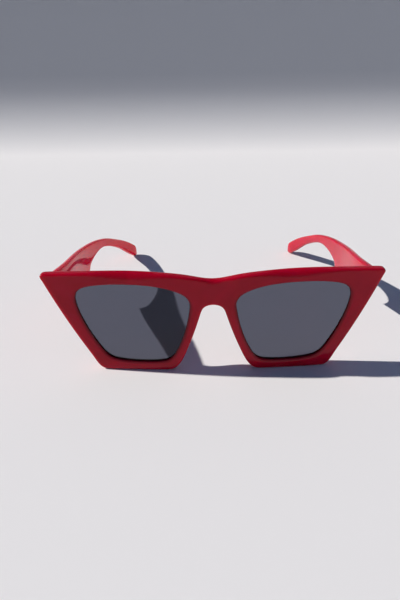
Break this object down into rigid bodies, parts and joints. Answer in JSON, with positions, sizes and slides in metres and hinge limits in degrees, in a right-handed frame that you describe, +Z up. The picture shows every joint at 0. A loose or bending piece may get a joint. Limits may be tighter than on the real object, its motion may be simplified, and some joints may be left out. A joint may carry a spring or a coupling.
{
  "type": "cat eye sunglasses",
  "caption": "Red cat-eye sunglasses with a flat brow, pointed tips, grey lenses in a thick plastic front, and wide temples that fold in on barrel hinges.",
  "frame": {"origin": "under the middle of the open glasses, on the surface that the lower rims and the temple ends stand on", "axes": "+X across the face to the wearer's left, -Y the way the front looks, +Y along the open temples, +Z up"},
  "size_m": [0.1464, 0.1409, 0.0487],
  "materials": {
    "frame_red": "polished solid red acetate",
    "lens_grey": "smooth neutral grey tint, darker than the eye",
    "hinge_steel": "nickel silver, lightly brushed",
    "screw_steel": "turned steel with a slotted head",
    "core_steel": "drawn nickel silver wire"
  },
  "bodies": {
    "front": {"front_frame": "frame_red", "lens_left": "lens_grey", "lens_right": "lens_grey", "front_hinge_left": "hinge_steel", "front_hinge_right": "hinge_steel", "hinge_screw_left": "screw_steel", "hinge_screw_right": "screw_steel"},
    "left_temple": {"temple_left": "frame_red", "temple_hinge_left": "hinge_steel", "core_wire_left": "core_steel"},
    "right_temple": {"temple_right": "frame_red", "temple_hinge_right": "hinge_steel", "core_wire_right": "core_steel"}
  },
  "joints": [
    {"name": "left_temple_fold", "type": "hinge", "parent": "front", "child": "left_temple", "pos_m": [0.0643, -0.06094, 0.0421], "axis": [0, 0, 1], "range_deg": [0, 86]},
    {"name": "right_temple_fold", "type": "hinge", "parent": "front", "child": "right_temple", "pos_m": [-0.0643, -0.06094, 0.0421], "axis": [0, 0, -1], "range_deg": [0, 78]}
  ]
}
